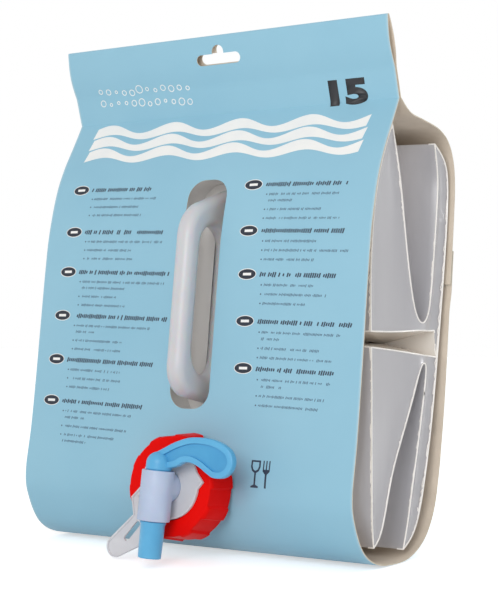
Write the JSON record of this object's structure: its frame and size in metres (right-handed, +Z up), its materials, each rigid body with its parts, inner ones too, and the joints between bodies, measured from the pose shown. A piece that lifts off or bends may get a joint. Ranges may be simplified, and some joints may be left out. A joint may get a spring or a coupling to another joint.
{
  "type": "collapsible water carrier",
  "caption": "Soft folding water carrier with a lever tap, union nut and carry handle, packed flat in a printed card sleeve with a hanging slot.",
  "frame": {"origin": "middle of the hanging slot in the card's header, where a display hook holds it", "axes": "+Z up, -Y out through the front panel with the tap, +X to the right seen from the front"},
  "size_m": [0.25, 0.1775, 0.3296],
  "materials": {
    "printed_board": "satin",
    "glue": "satin",
    "clear_film": "gloss",
    "clear_moulding": "satin",
    "red_moulding": "satin",
    "seal_rubber": "matte",
    "tap_moulding": "satin",
    "blue_moulding": "gloss"
  },
  "bodies": {
    "carrier": {"display_card": "printed_board", "header_glue_strip": "glue", "seam_glue_strip": "glue", "can_body": "clear_film", "carry_handle": "clear_moulding", "can_neck": "clear_moulding"},
    "gasket": {"neck_gasket": "seal_rubber"},
    "nut": {"union_nut": "red_moulding"},
    "tap": {"tap_housing": "tap_moulding"},
    "key": {"tap_key": "blue_moulding"},
    "strap": {"retaining_strap": "tap_moulding"}
  },
  "joints": [
    {"name": "thread_travel", "type": "slide", "parent": "carrier", "child": "gasket", "axis": [0, -0.9945, 0.1045], "range_m": [0, 0.01]},
    {"name": "nut_turn", "type": "hinge", "parent": "gasket", "child": "nut", "pos_m": [0.0102, -0.04793, -0.2714], "axis": [0, -0.9945, 0.1045], "range_deg": [0, 900]},
    {"name": "tap_swivel", "type": "hinge", "parent": "gasket", "child": "tap", "pos_m": [0.0102, -0.04793, -0.2714], "axis": [0, -0.9945, 0.1045], "range_deg": [-180, 180]},
    {"name": "key_turn", "type": "hinge", "parent": "tap", "child": "key", "pos_m": [0.0102, -0.08075, -0.26795], "axis": [-0.0523, -0.1044, -0.9932], "range_deg": [0, 90]},
    {"name": "strap_swing", "type": "hinge", "parent": "tap", "child": "strap", "pos_m": [0.0102, -0.04793, -0.2714], "axis": [0, -0.9945, 0.1045], "range_deg": [-100, 100]}
  ],
  "couplings": [
    {"joint": "thread_travel", "follows": "nut_turn", "m_per_rad": 0.00063661}
  ]
}
